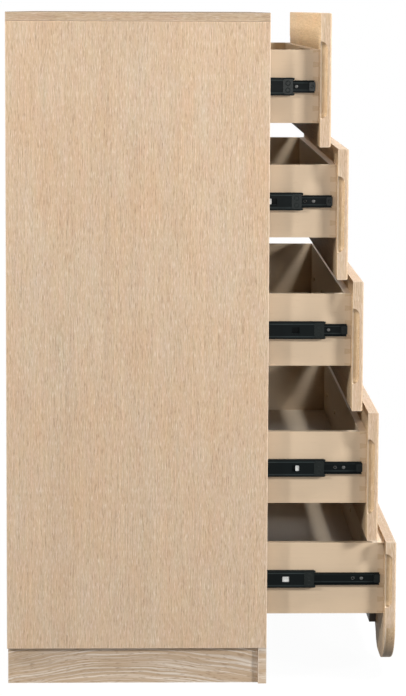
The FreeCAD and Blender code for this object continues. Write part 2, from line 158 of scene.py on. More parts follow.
class Shader(NodeTree):
    """A material under construction."""

    def __init__(self, name):
        self.material = bpy.data.materials.new(name)
        self.material.use_nodes = True
        super().__init__(self.material.node_tree)
        self.surface = self.tree.nodes["Principled BSDF"]
        self.output = self.tree.nodes["Material Output"]

    def ramp(self, source, low, high):
        """0 below low, 1 above high and smooth between them."""
        made = self.add("ShaderNodeMapRange", {"Value": source, "From Min": low, "From Max": high},
                        interpolation_type="SMOOTHSTEP")
        return made.outputs["Result"]

    def between(self, source, low, high):
        """A noise of 0 to 1 stretched to run from low to high."""
        made = self.add("ShaderNodeMapRange", {"Value": source, "To Min": low, "To Max": high})
        return made.outputs["Result"]

    def blend(self, share, first, second, blend_type="MIX", data_type="RGBA"):
        made = self.add("ShaderNodeMix", {"Factor": share, "A": first, "B": second},
                        data_type=data_type, blend_type=blend_type)
        return made.outputs["Result"]

    def shaded(self, colour, shade):
        """A colour with all its parts made lighter or darker by one shade."""
        return self.blend(1.0, colour, self.joined(shade, shade, shade), "MULTIPLY")

    def noise(self, place, counts, detail, roughness):
        """Noise with the given counts of features per metre along each direction."""
        scaled = self.add("ShaderNodeVectorMath", {0: place, 1: counts}, operation="MULTIPLY")
        made = self.add("ShaderNodeTexNoise", {"Vector": scaled.outputs[0], "Scale": 1.0,
                                               "Detail": detail, "Roughness": roughness})
        return made.outputs["Fac"]

    def place(self):
        return self.add("ShaderNodeTexCoord").outputs["Object"]

    def normal(self):
        return self.add("ShaderNodeNewGeometry").outputs["Normal"]

    def parts(self, vector):
        return self.add("ShaderNodeSeparateXYZ", {0: vector}).outputs

    def joined(self, x, y, z):
        return self.add("ShaderNodeCombineXYZ", {0: x, 1: y, 2: z}).outputs[0]

    def coat(self, colour, roughness, gloss):
        self.feed(self.surface.inputs["Base Color"], colour)
        self.feed(self.surface.inputs["Roughness"], roughness)
        self.surface.inputs["Specular IOR Level"].default_value = gloss

    def emboss(self, height, strength, depth):
        relief = self.add("ShaderNodeBump", {"Height": height, "Strength": strength, "Distance": depth})
        self.feed(self.surface.inputs["Normal"], relief.outputs[0])


def rgba(colour):
    return (*colour, 1.0)


def grain_place(shader, grain, edge_grain=None):
    """Where a point is, as (across, across, along the grain); ends of a board may run another way."""
    place = shader.place()
    x, y, z = shader.parts(place)
    ways = {"X": (z, y, x), "Y": (z, x, y), "Z": (x, y, z)}
    along = shader.joined(*ways[grain])
    if edge_grain is not None:
        facing_x = shader.math("ABSOLUTE", shader.parts(shader.normal())[0])
        is_end = shader.math("GREATER_THAN", facing_x, SIDE_FACING)
        along = shader.blend(is_end, along, shader.joined(*ways[edge_grain]), data_type="VECTOR")
    return place, along


def near_edge(shader, place, box, reach):
    """1 on the arrises of a board that fills a box, 0 further from them than reach."""
    low, high = box
    depths = []
    for axis, spot in enumerate(shader.parts(place)):
        depths.append(shader.math("MINIMUM", shader.math("SUBTRACT", spot, low[axis]),
                                  shader.math("SUBTRACT", high[axis], spot)))
    smaller = [shader.math("MAXIMUM", depths[i], depths[j]) for i, j in ((0, 1), (1, 2), (0, 2))]
    nearest = shader.math("MINIMUM", shader.math("MINIMUM", smaller[0], smaller[1]), smaller[2])
    return shader.math("SUBTRACT", 1.0, shader.ramp(nearest, 0.0, reach))


# Materials. A noise is given as its counts per metre in three directions, its detail and its roughness.
# In most woods the third direction is along the grain. Pairs are the ends of a range, and a relief is its
# strength and depth.

# Drawer fronts: the tint of the finger pulls, and painted light and shade on the backs, in the pulls and
# at the foot
BACK_TINT = (1.00, 0.97, 0.86)
PULL_MARGIN = 0.4 * MM
PULL_FACING = 0.15
PULL_TINT = (1.06, 1.03, 0.93)
PULL_HOLLOW_TINT = (0.79, 0.76, 0.71)
PULL_RIM = (1.6 * MM, 3.2 * MM)          # from the back of the front: where the pull's rim with its painted highlight ends
PULL_HOLLOW = (6.2 * MM, 9.0 * MM)       # and where its hollow with painted shade ends
PULL_RIM_SHARE = 0.80
FOOT_SOILED = (20.0 * MM, 115.0 * MM)    # above the floor: where the painted shade at the foot fades out
FOOT_END_SHARE = 0.95
FOOT_BACK_SHARE = 0.20


def handled_wood(shader, place, box, colour):
    """The colour of a drawer front: the tint of its finger pulls, painted warm light on its back, painted
    shade in its pulls' hollows and at its foot, and a painted highlight on its pulls' rims.
    """
    high = box[1]
    x, y, z = shader.parts(place)
    facing = shader.parts(shader.normal())
    facing_x = shader.math("ABSOLUTE", facing[0])
    # Painted warm light on the back face
    is_back = shader.math("GREATER_THAN", facing[1], BACK_FACING)
    colour = shader.blend(is_back, colour, rgba(BACK_TINT), "MULTIPLY")
    sunk = shader.math("LESS_THAN", shader.math("ABSOLUTE", x), high.x - PULL_MARGIN)
    pull = shader.math("MULTIPLY", sunk, shader.math("GREATER_THAN", facing_x, PULL_FACING))
    colour = shader.blend(pull, colour, rgba(PULL_TINT), "MULTIPLY")
    # Painted shade in the pull's hollow, and a painted highlight on its rim at the back of the front
    from_back = shader.math("SUBTRACT", high.y, y)
    past_rim = shader.ramp(from_back, *PULL_RIM)
    hollow = shader.math("SUBTRACT", past_rim, shader.ramp(from_back, *PULL_HOLLOW))
    in_hollow = shader.math("MULTIPLY", pull, hollow)
    colour = shader.blend(in_hollow, colour, rgba(PULL_HOLLOW_TINT), "MULTIPLY")
    on_rim = shader.math("MULTIPLY", pull, shader.between(past_rim, PULL_RIM_SHARE, 0.0))
    colour = shader.blend(on_rim, colour, rgba(VENEER_LIME))
    # Painted shade at the foot, darker towards the floor and strongest on the end faces
    near_floor = shader.math("SUBTRACT", 1.0, shader.ramp(z, *FOOT_SOILED))
    is_end = shader.math("GREATER_THAN", facing_x, SIDE_FACING)
    soiled = shader.math("MULTIPLY", near_floor, shader.between(is_end, FOOT_BACK_SHARE, FOOT_END_SHARE))
    return shader.blend(soiled, colour, rgba(VENEER_WORN))


OAK_LEAF_NOISE = ((9.0, 9.0, 0.25), 2.0, 0.5)
OAK_BAND_NOISE = ((60.0, 60.0, 0.9), 3.0, 0.5)
OAK_LINE_NOISE = ((760.0, 760.0, 8.0), 2.0, 0.5)
OAK_FIBRE_NOISE = ((900.0, 900.0, 26.0), 2.0, 0.5)
OAK_LIME_NOISE = ((800.0, 800.0, 62.0), 3.0, 0.6)
OAK_PORE_NOISE = ((820.0, 820.0, 72.0), 2.0, 0.55)
OAK_MOTTLE_NOISE = ((22.0, 22.0, 6.0), 4.0, 0.6)
OAK_TINT_NOISE = ((75.0, 75.0, 22.0), 2.0, 0.5)
OAK_LIMED = (0.48, 0.74)
OAK_PORED = (0.50, 0.72)
OAK_PORE_SHARES = (0.95, 0.10)           # of the pores in the darkest and the palest lines
OAK_LEAF_SHADES = (0.93, 1.07)
OAK_BAND_SHADES = (0.93, 1.07)
OAK_LINE_SHADES = (0.74, 1.26)
OAK_FIBRE_SHADES = (0.95, 1.05)
OAK_WARM_SHADES = (0.78, 1.22)
OAK_PINK_SHADES = (0.955, 1.045)
# Arrises lighter from rubbing and a painted highlight
OAK_RUBBED = 3.0 * MM
OAK_RUBBED_SHARES = (0.45, 0.10)         # at the sides, and on an upper face
OAK_ROUGHNESS = (0.50, 0.74)
OAK_GLOSS = 0.30
OAK_FIBRE_HEIGHT = 0.35
OAK_PORE_SUNK = (0.55, 0.72)
OAK_RELIEF = (0.22, 0.25 * MM)
TOP_TONE = 0.84
# Painted shade on the top's upper face
TOP_UPPER_TONE = 0.30
TOP_GLOSS = 0.05
# Painted shade on the drawer fronts' upper faces
FRONT_UPPER_TONE = 0.68


def oak(name, box, grain, edge_grain=None, tone=1.0, upper_tone=1.0, handled=False, gloss=OAK_GLOSS):
    """Rift-cut oak veneer with white lime in its pores, lighter on its arrises from rubbing and a painted
    highlight.

    Its upper face can take painted shade. A drawer front also gets the tint of its finger pulls, painted
    warm light on its back, painted shade in its pulls' hollows and at its foot, and a painted highlight on
    its pulls' rims.
    """
    shader = Shader(name)
    place, along = grain_place(shader, grain, edge_grain)
    leaves = shader.noise(along, *OAK_LEAF_NOISE)
    bands = shader.noise(along, *OAK_BAND_NOISE)
    lines = shader.noise(along, *OAK_LINE_NOISE)
    fibre = shader.noise(along, *OAK_FIBRE_NOISE)
    lime = shader.noise(along, *OAK_LIME_NOISE)
    pores = shader.noise(along, *OAK_PORE_NOISE)
    mottle = shader.noise(along, *OAK_MOTTLE_NOISE)
    tint = shader.noise(along, *OAK_TINT_NOISE)
    colour = shader.blend(shader.ramp(lime, *OAK_LIMED), rgba(VENEER), rgba(VENEER_LIME))
    pore_share = shader.math("MULTIPLY", shader.ramp(pores, *OAK_PORED),
                             shader.between(lines, *OAK_PORE_SHARES))
    colour = shader.blend(pore_share, colour, rgba(VENEER_PORE))
    upper = shader.math("GREATER_THAN", shader.parts(shader.normal())[2], UPPER_FACING)
    # Painted shade on the upper faces, with the board's own tone
    shade = shader.between(upper, tone, tone * upper_tone)
    for figure, shades in ((leaves, OAK_LEAF_SHADES), (bands, OAK_BAND_SHADES),
                           (lines, OAK_LINE_SHADES), (fibre, OAK_FIBRE_SHADES)):
        shade = shader.math("MULTIPLY", shade, shader.between(figure, *shades))
    colour = shader.shaded(colour, shade)
    warm = shader.between(mottle, *OAK_WARM_SHADES)
    pink = shader.between(tint, *OAK_PINK_SHADES)
    green = shader.math("MULTIPLY", shader.math("SQRT", warm), pink)
    colour = shader.blend(1.0, colour, shader.joined(1.0, green, warm), "MULTIPLY")
    if handled:
        colour = handled_wood(shader, place, box, colour)
    # Lighter arrises: rubbing, and a painted highlight
    rubbed = shader.math("MULTIPLY", near_edge(shader, place, box, OAK_RUBBED),
                         shader.between(upper, *OAK_RUBBED_SHARES))
    colour = shader.blend(rubbed, colour, rgba(VENEER_LIME))
    shader.coat(colour, shader.between(lime, *OAK_ROUGHNESS), gloss)
    height = shader.math("SUBTRACT", shader.between(fibre, 0.0, OAK_FIBRE_HEIGHT),
                         shader.ramp(pores, *OAK_PORE_SUNK))
    shader.emboss(height, *OAK_RELIEF)
    return shader.material


# Where the arches in each plinth board's grain peak, how sharply they bend and how far they wander
PLINTH_ARCHES = {"left": 0.015, "right": 0.015, "front": 0.08, "back": -0.05}
ARCH_BEND = 0.46
ARCH_WANDER = 0.020
ARCH_WANDER_NOISE = ((7.0, 7.0, 20.0), 2.0, 0.5)
PLINTH_LIME_NOISE = ((265.0, 2.0, 3.4), 3.0, 0.65)
PLINTH_PORE_NOISE = ((430.0, 60.0, 22.0), 2.0, 0.5)
PLINTH_BAND_NOISE = ((60.0, 1.0, 1.5), 2.0, 0.5)
PLINTH_LIMED = (0.46, 0.64)
PLINTH_PORED = (0.54, 0.70)
PLINTH_PORE_SHARE = 0.55
PLINTH_BAND_SHADES = (0.84, 1.14)
PLINTH_RUBBED_SHARE = 0.4
PLINTH_ROUGHNESS = (0.52, 0.76)
PLINTH_RELIEF = (0.25, 0.4 * MM)


def grain_runs_back(box):
    """Whether a board's longer level side runs front to back."""
    low, high = box
    return high.y - low.y > high.x - low.x


def flat_cut_oak(name, box, arch_middle):
    """Flat-cut limed oak on the plinth: long arches of white grain over the middle of the board."""
    shader = Shader(name)
    place = shader.place()
    x, y, z = shader.parts(place)
    run = y if grain_runs_back(box) else x
    from_middle = shader.math("SUBTRACT", run, arch_middle)
    arch = shader.math("MULTIPLY", shader.math("MULTIPLY", from_middle, from_middle), ARCH_BEND)
    wander = shader.math("MULTIPLY", shader.noise(place, *ARCH_WANDER_NOISE), ARCH_WANDER)
    ring = shader.math("ADD", shader.math("ADD", z, arch), wander)
    along = shader.joined(ring, shader.math("ADD", x, y), run)
    lime = shader.noise(along, *PLINTH_LIME_NOISE)
    pores = shader.noise(along, *PLINTH_PORE_NOISE)
    bands = shader.noise(along, *PLINTH_BAND_NOISE)
    colour = shader.blend(shader.ramp(lime, *PLINTH_LIMED), rgba(PLINTH), rgba(PLINTH_LIME))
    pore_share = shader.math("MULTIPLY", shader.ramp(pores, *PLINTH_PORED), PLINTH_PORE_SHARE)
    colour = shader.blend(pore_share, colour, rgba(PLINTH_PORE))
    colour = shader.shaded(colour, shader.between(bands, *PLINTH_BAND_SHADES))
    # Lighter arrises: rubbing, and a painted highlight
    rubbed = shader.math("MULTIPLY", near_edge(shader, place, box, OAK_RUBBED), PLINTH_RUBBED_SHARE)
    colour = shader.blend(rubbed, colour, rgba(PLINTH_LIME))
    shader.coat(colour, shader.between(lime, *PLINTH_ROUGHNESS), OAK_GLOSS)
    shader.emboss(lime, *PLINTH_RELIEF)
    return shader.material


BOX_BAND_NOISE = ((16.0, 16.0, 0.5), 2.0, 0.5)
BOX_FIBRE_NOISE = ((700.0, 700.0, 14.0), 2.0, 0.5)
BOX_FLECK_NOISE = ((300.0, 300.0, 40.0), 2.0, 0.5)
BOX_CLOUD_NOISE = ((11.0, 11.0, 11.0), 2.0, 0.5)
BOX_LIGHT_SHARES = (0.1, 0.6)
BOX_FLECKED = (0.60, 0.76)
BOX_FLECK_SHARE = 0.22
BOX_END_SHARES = (0.25, 0.75)
BOX_FIBRE_SHADES = (0.97, 1.03)
BOX_CLOUD_SHADES = (0.95, 1.05)
BOX_RUBBED = 1.6 * MM
BOX_RUBBED_SHARE = 0.6
BOX_ROUGHNESS = (0.40, 0.58)
BOX_GLOSS = 0.38
BOX_RELIEF = (0.08, 0.2 * MM)
# Painted shade on the upper edges of a box's boards, and painted light on the box front's upper edge
BOX_UPPER_TONE = 0.68
BOX_FRONT_UPPER_TONE = 1.05


def box_wood(name, box, grain, plain=BOX, light=BOX_LIGHT, dark=BOX_DARK, end=BOX_END,
             inside=None, inside_colour=BOX_INSIDE, upper_tone=BOX_UPPER_TONE):
    """Planed pale hardwood under thin lacquer, for boxes and hidden framing.

    It is darker on its end grain and paler, by painted light, on its inside face, which is where inside
    points.
    """
    shader = Shader(name)
    place, along = grain_place(shader, grain)
    bands = shader.noise(along, *BOX_BAND_NOISE)
    fibre = shader.noise(along, *BOX_FIBRE_NOISE)
    flecks = shader.noise(along, *BOX_FLECK_NOISE)
    clouds = shader.noise(place, *BOX_CLOUD_NOISE)
    normal = shader.normal()
    facing = shader.parts(normal)
    colour = shader.blend(shader.between(bands, *BOX_LIGHT_SHARES), rgba(plain), rgba(light))
    # Painted shade on the upper faces, and painted light on a box front's upper edge
    upper = shader.math("GREATER_THAN", facing[2], UPPER_FACING)
    colour = shader.shaded(colour, shader.between(upper, 1.0, upper_tone))
    # The paler inside face is painted light
    if inside is not None:
        inwards = shader.add("ShaderNodeVectorMath", {0: normal, 1: inside}, operation="DOT_PRODUCT")
        is_inside = shader.math("GREATER_THAN", inwards.outputs["Value"], SIDE_FACING)
        colour = shader.blend(is_inside, colour, rgba(inside_colour))
    fleck_share = shader.math("MULTIPLY", shader.ramp(flecks, *BOX_FLECKED), BOX_FLECK_SHARE)
    colour = shader.blend(fleck_share, colour, rgba(dark))
    along_grain = shader.math("ABSOLUTE", facing["XYZ".index(grain)])
    is_end = shader.math("GREATER_THAN", along_grain, SIDE_FACING)
    end_share = shader.math("MULTIPLY", is_end, shader.between(flecks, *BOX_END_SHARES))
    colour = shader.blend(end_share, colour, rgba(end))
    shade = shader.math("MULTIPLY", shader.between(fibre, *BOX_FIBRE_SHADES),
                        shader.between(clouds, *BOX_CLOUD_SHADES))
    colour = shader.shaded(colour, shade)
    # Lighter arrises: rubbing, and a painted highlight
    rubbed = shader.math("MULTIPLY", near_edge(shader, place, box, BOX_RUBBED), BOX_RUBBED_SHARE)
    colour = shader.blend(rubbed, colour, rgba(light))
    shader.coat(colour, shader.between(bands, *BOX_ROUGHNESS), BOX_GLOSS)
    shader.emboss(fibre, *BOX_RELIEF)
    return shader.material


STEEL_DRAWN_NOISE = ((500.0, 6.0, 900.0), 2.0, 0.5)
STEEL_OIL_NOISE = ((40.0, 18.0, 60.0), 3.0, 0.5)
STEEL_SCUFF_NOISE = ((200.0, 60.0, 420.0), 4.0, 0.7)
STEEL_SCUFFED = (0.62, 0.80)
STEEL_SCUFF_SHARE = 0.6
STEEL_ROUGHNESS = (0.30, 0.55)
STEEL_GLOSS = 0.08
STEEL_RELIEF = (0.10, 0.1 * MM)
LIP_LINE = 5.0 * MM                      # from a rail's edge in to the painted highlight line on its lip
LIP_HALF = 1.6 * MM                      # half that line's width
LIP_SHARES = (0.3, 1.2)


def near_lip(shader, place, box):
    """1 on a line along the upper and lower lip of a rail that fills a box, 0 elsewhere."""
    low, high = box
    z = shader.parts(place)[2]
    depth = shader.math("MINIMUM", shader.math("SUBTRACT", z, low.z), shader.math("SUBTRACT", high.z, z))
    off = shader.math("ABSOLUTE", shader.math("SUBTRACT", depth, LIP_LINE))
    return shader.math("SUBTRACT", 1.0, shader.ramp(off, 0.0, LIP_HALF))


def black_steel(name, box, worn_lips=True):
    """Black coated sheet steel: a thin film of oil, drawn lines along the rail, scuffs and a painted
    highlight along its lips.
    """
    shader = Shader(name)
    place = shader.place()
    drawn = shader.noise(place, *STEEL_DRAWN_NOISE)
    oil = shader.noise(place, *STEEL_OIL_NOISE)
    scuffs = shader.noise(place, *STEEL_SCUFF_NOISE)
    scuffed = shader.math("MULTIPLY", shader.ramp(scuffs, *STEEL_SCUFFED), STEEL_SCUFF_SHARE)
    colour = shader.blend(scuffed, rgba(STEEL_BLACK), rgba(STEEL_WORN))
    # A painted highlight along the lips
    if worn_lips:
        rubbed = shader.math("MULTIPLY", near_lip(shader, place, box), shader.between(oil, *LIP_SHARES))
        colour = shader.blend(rubbed, colour, rgba(STEEL_RUBBED))
    shader.coat(colour, shader.between(oil, *STEEL_ROUGHNESS), STEEL_GLOSS)
    shader.emboss(drawn, *STEEL_RELIEF)
    return shader.material


ZINC_CLOUD_NOISE = ((900.0, 900.0, 900.0), 3.0, 0.5)
ZINC_CLOUD_SHADES = (0.75, 1.15)
ZINC_ROUGHNESS = (0.42, 0.60)
ZINC_GLOSS = 0.5
RAIL_SCREW_METALLIC = 1.0
BOX_SCREW_METALLIC = 0.35


def zinc_steel(name, plating, metallic):
    """Zinc-plated fasteners, slightly clouded."""
    shader = Shader(name)
    cloud = shader.noise(shader.place(), *ZINC_CLOUD_NOISE)
    colour = shader.shaded(rgba(plating), shader.between(cloud, *ZINC_CLOUD_SHADES))
    shader.coat(colour, shader.between(cloud, *ZINC_ROUGHNESS), ZINC_GLOSS)
    shader.surface.inputs["Metallic"].default_value = metallic
    return shader.material


PLASTIC_TEXTURE_NOISE = ((2500.0, 2500.0, 2500.0), 2.0, 0.5)
PLASTIC_CLOUD_NOISE = ((120.0, 120.0, 120.0), 2.0, 0.5)
PLASTIC_CLOUD_SHADES = (0.85, 1.12)
PLASTIC_RELIEF = (0.12, 0.05 * MM)
KEEPER_ROUGHNESS = (0.24, 0.38)
KEEPER_GLOSS = 0.13
NYLON_ROUGHNESS = (0.4, 0.6)
NYLON_GLOSS = 0.4


def moulded(name, plastic, roughness, gloss):
    """Moulded plastic with a fine spark-eroded texture."""
    shader = Shader(name)
    place = shader.place()
    texture = shader.noise(place, *PLASTIC_TEXTURE_NOISE)
    cloud = shader.noise(place, *PLASTIC_CLOUD_NOISE)
    colour = shader.shaded(rgba(plastic), shader.between(cloud, *PLASTIC_CLOUD_SHADES))
    shader.coat(colour, shader.between(cloud, *roughness), gloss)
    shader.emboss(texture, *PLASTIC_RELIEF)
    return shader.material


# Boards of a drawer box: which way the grain runs, the way to its inside, the paler colour painted there
# as light, and the painted shade on its upper edge, which is painted light on the box front
BOX_BOARDS = (
    ("box_front", "X", (0.0, 1.0, 0.0), BOX_INSIDE, BOX_FRONT_UPPER_TONE),
    ("box_back", "X", (0.0, -1.0, 0.0), BOX_INSIDE, BOX_UPPER_TONE),
    ("left_side", "Y", (1.0, 0.0, 0.0), BOX_INSIDE, BOX_UPPER_TONE),
    ("right_side", "Y", (-1.0, 0.0, 0.0), BOX_INSIDE, BOX_UPPER_TONE),
    ("base", "X", (0.0, 0.0, 1.0), BASE_INSIDE, BOX_UPPER_TONE),
)


def dress(node_name, maker, *looks, **more_looks):
    """Gives a CAD node the material that a maker builds for it."""
    material = maker(node_name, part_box(node_name), *looks, **more_looks)
    mesh = nodes[node_name].data
    mesh.materials.clear()
    mesh.materials.append(material)


def dress_case():
    for side in SIDES:
        dress(f"{side}_side_panel", oak, "Z")
    for side, arch_middle in PLINTH_ARCHES.items():
        dress(f"plinth_{side}_board", flat_cut_oak, arch_middle)
    dress("top_panel", oak, "X", "Y", TOP_TONE, TOP_UPPER_TONE, gloss=TOP_GLOSS)
    dress("bottom_panel", oak, "X")
    dress("back_panel", box_wood, "Z", BACK, BACK_LIGHT)
    dress("cross_rails", box_wood, "X")
    dress("plinth_centre_rail", box_wood, "Y")
    dress("plinth_corner_blocks", box_wood, "Z")
    dress("case_slide_rails", black_steel, worn_lips=False)


def dress_drawers():
    for name in DRAWERS:
        drawer = f"{name}_drawer"
        dress(f"{drawer}_front", oak, "X", "Z", upper_tone=FRONT_UPPER_TONE, handled=True)
        for board, grain, inside, inside_colour, upper_tone in BOX_BOARDS:
            dress(f"{drawer}_{board}", box_wood, grain, inside=inside, inside_colour=inside_colour,
                  upper_tone=upper_tone)
        dress(f"{drawer}_slide_rails", black_steel)
        dress(f"{name}_middle_slide_rails", black_steel)
    # The cleat's near-black colour is painted shade
    dress(CLEAT_NODE, box_wood, "X", CLEAT, CLEAT, CLEAT_DARK, CLEAT_DARK)


# Small pieces that ride on the CAD bodies. An outline is its length, height and corner radius, and a ring
# is its outer and inner radius and its height.

SHEET = 1.2 * MM                         # rail steel
CORNER_STEPS = 5
HEAD_SIDES = 24
HEAD_PROFILE = ((1.0, 0.0), (1.0, 0.18), (0.86, 0.40), (0.62, 0.50))    # out and up, by the head's radius
RECESS_ARM = 0.46
RECESS_HALF = 0.11
RECESS_DEPTH = 0.26
QUARTERS = 4
RAIL_SCREW = 3.6 * MM
RAIL_SCREW_PLACES = (36.0 * MM, 390.0 * MM)     # behind the rail's front end
EYELET_PLACE = 53.0 * MM
EYELET_RING = (3.4 * MM, 1.8 * MM, 0.8 * MM)
BOX_SCREW = 4.2 * MM
BOX_SCREW_PLACES = (-330.0 * MM, -120.0 * MM, 120.0 * MM, 330.0 * MM)
CLEAT_SCREW_PLACES = (-170.0 * MM, 170.0 * MM)
LATCH_OUTLINE = (13.0 * MM, 19.0 * MM, 2.5 * MM)
LATCH_THICK = 2.4 * MM
LATCH_EASE = 0.8 * MM
LATCH_AHEAD = 2.0 * MM                   # of the rail's front end
LATCH_RING = (3.6 * MM, 2.2 * MM, 0.4 * MM)
KEEPER_OUTLINE = (20.0 * MM, 30.0 * MM, 4.0 * MM)
KEEPER_THICK = 0.5 * MM
KEEPER_EASE = 0.2 * MM
KEEPER_RING = (5.4 * MM, 3.2 * MM, 0.35 * MM)
KEEPER_RING_UP = 7.0 * MM
NOSE_OUTLINE = (7.0 * MM, 4.4 * MM, 1.6 * MM)
NOSE_LONG = 3.0 * MM
NOSE_EASE = 0.8 * MM
NOSE_FROM_LIP = 2.5 * MM
NOSE_DEEP = 4.3 * MM                     # behind the rail's outer face
# The ball cage behind each middle rail's window: rail's front end to its middle, and its length
CAGES = {"top": (57.0 * MM, 12.0 * MM), "second": (62.5 * MM, 5.0 * MM), "third": (75.0 * MM, 12.0 * MM),
         "fourth": (53.5 * MM, 8.0 * MM), "bottom": (57.0 * MM, 14.0 * MM)}
CAGE_HIGH = 11.0 * MM
CAGE_CORNER = 1.5 * MM
CAGE_THICK = 0.7 * MM
CAGE_EASE = 0.2 * MM
CAGE_GAP = 0.1 * MM                      # behind the rail's web
RIB_SHARE = 0.8                          # of the cage's length
RIB_HIGH = 1.6 * MM
RIB_CORNER = 0.7 * MM
RIB_THICK = 0.4 * MM
RIB_EASE = 0.15 * MM
RIB_UP = 2.6 * MM


def sideways(side):
    """Which way a side of the chest faces, and a turn that makes its outside the upper face."""
    sign = -1.0 if side == "left" else 1.0
    return sign, Matrix(((0, 0, sign), (sign, 0, 0), (0, 1, 0))).to_4x4()


def forwards():
    """A turn that makes the front of the chest the upper face."""
    return Matrix(((1, 0, 0), (0, 0, -1), (0, 1, 0))).to_4x4()


def backwards():
    """A turn that makes the back of the chest the upper face."""
    return Matrix(((-1, 0, 0), (0, 0, 1), (0, 1, 0))).to_4x4()


def drawer_rail_spot(name, side, back):
    """A spot on the web of a drawer rail, that far behind its front end, turned to face outwards."""
    low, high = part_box(f"{name}_drawer_slide_rails")
    box_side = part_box(f"{name}_drawer_left_side")[0].x
    sign, turn = sideways(side)
    place = (sign * (SHEET - box_side), low.y + back, (low.z + high.z) / 2)
    return Matrix.Translation(place) @ turn


def middle_rail_spot(name, side, back, deep):
    """A spot behind a middle rail's front end and deep under its outer face, turned to face outwards."""
    low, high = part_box(f"{name}_middle_slide_rails")
    sign, turn = sideways(side)
    return Matrix.Translation((sign * (high.x - deep), low.y + back, (low.z + high.z) / 2)) @ turn


def circle(radius, sides, start=0.0):
    steps = [start + 2.0 * math.pi * step / sides for step in range(sides)]
    return [(radius * math.cos(angle), radius * math.sin(angle)) for angle in steps]


def rounded(long, high, radius):
    """Outline of a plate with rounded corners, about its middle."""
    points = []
    for corner, (right, up) in enumerate(((1, 1), (-1, 1), (-1, -1), (1, -1))):
        for step in range(CORNER_STEPS + 1):
            angle = (corner + step / CORNER_STEPS) * math.pi / 2
            points.append((right * (long / 2 - radius) + radius * math.cos(angle),
                           up * (high / 2 - radius) + radius * math.sin(angle)))
    return points


def loop(mesh, matrix, points, height):
    return [mesh.verts.new(matrix @ Vector((x, y, height))) for x, y in points]


def strip(mesh, lower, upper):
    count = len(lower)
    for step in range(count):
        after = (step + 1) % count
        mesh.faces.new((lower[step], lower[after], upper[after], upper[step]))


def add_plate(mesh, matrix, points, thick, ease):
    """A plate of any outline with an eased upper edge."""
    inner = []
    for x, y in points:
        share = 1 - ease / math.hypot(x, y)
        inner.append((x * share, y * share))
    base = loop(mesh, matrix, points, 0.0)
    shoulder = loop(mesh, matrix, points, thick - ease)
    crown = loop(mesh, matrix, inner, thick)
    strip(mesh, base, shoulder)
    strip(mesh, shoulder, crown)
    mesh.faces.new(crown)
    mesh.faces.new(list(reversed(base)))


def add_ring(mesh, matrix, outer, inner, thick):
    """A raised eyelet."""
    middle = (outer + inner) / 2
    loops = [loop(mesh, matrix, circle(radius, HEAD_SIDES), height)
             for radius, height in ((outer, 0.0), (middle, thick), (inner, 0.0))]
    strip(mesh, loops[0], loops[1])
    strip(mesh, loops[1], loops[2])


def add_screw(mesh, matrix, radius):
    """A pan head with a cross recess."""
    start = -2.0 * math.pi / HEAD_SIDES
    rings = [loop(mesh, matrix, circle(share * radius, HEAD_SIDES, start), height * radius)
             for share, height in HEAD_PROFILE]
    for lower, upper in zip(rings, rings[1:]):
        strip(mesh, lower, upper)
    arm = RECESS_ARM * radius
    half = RECESS_HALF * radius
    cross = []
    for turn in range(QUARTERS):
        spin = Matrix.Rotation(2.0 * math.pi * turn / QUARTERS, 2)
        cross += [tuple(spin @ Vector(point)) for point in ((arm, -half), (arm, half), (half, half))]
    top = HEAD_PROFILE[-1][1] * radius
    mouth = loop(mesh, matrix, cross, top)
    floor = loop(mesh, matrix, cross, top - RECESS_DEPTH * radius)
    crown = rings[-1]
    sides_each = HEAD_SIDES // len(cross)
    for step in range(len(cross)):
        after = (step + 1) % len(cross)
        outer = [crown[(sides_each * step + more) % HEAD_SIDES] for more in range(sides_each + 1)]
        mesh.faces.new((mouth[step], *outer, mouth[after]))
    strip(mesh, mouth, floor)
    mesh.faces.new(floor)


def new_piece(name, mesh, material, body):
    bmesh.ops.recalc_face_normals(mesh, faces=mesh.faces)
    data = bpy.data.meshes.new(name)
    mesh.to_mesh(data)
    mesh.free()
    data.materials.append(material)
    piece = bpy.data.objects.new(name, data)
    bpy.context.scene.collection.objects.link(piece)
    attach(piece, body)


def rail_fasteners(name, material):
    """Screws and an eyelet in the drawer rails."""
    mesh = bmesh.new()
    for side in SIDES:
        for back in RAIL_SCREW_PLACES:
            add_screw(mesh, drawer_rail_spot(name, side, back), RAIL_SCREW)
        add_ring(mesh, drawer_rail_spot(name, side, EYELET_PLACE), *EYELET_RING)
    new_piece(f"{name}_rail_screws", mesh, material, f"{name}_drawer")


def box_fasteners(name, material):
    """Screws that hold the box, and the bottom drawer's cleat, to the front."""
    boards = {f"{name}_drawer_box_front": BOX_SCREW_PLACES}
    if CLEAT_NODE.startswith(name):
        boards[CLEAT_NODE] = CLEAT_SCREW_PLACES
    mesh = bmesh.new()
    for board, places in boards.items():
        low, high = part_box(board)
        for across in places:
            place = Matrix.Translation((across, high.y, (low.z + high.z) / 2))
            add_screw(mesh, place @ backwards(), BOX_SCREW)
    new_piece(f"{name}_box_screws", mesh, material, f"{name}_drawer")


def drawer_latches(name, material):
    """The plastic tongue in the front end of each drawer rail."""
    mesh = bmesh.new()
    for side in SIDES:
        place = drawer_rail_spot(name, side, LATCH_OUTLINE[0] / 2 - LATCH_AHEAD)
        add_plate(mesh, place, rounded(*LATCH_OUTLINE), LATCH_THICK, LATCH_EASE)
        add_ring(mesh, place @ Matrix.Translation((0, 0, LATCH_THICK)), *LATCH_RING)
    new_piece(f"{name}_drawer_rail_latches", mesh, material, f"{name}_drawer")


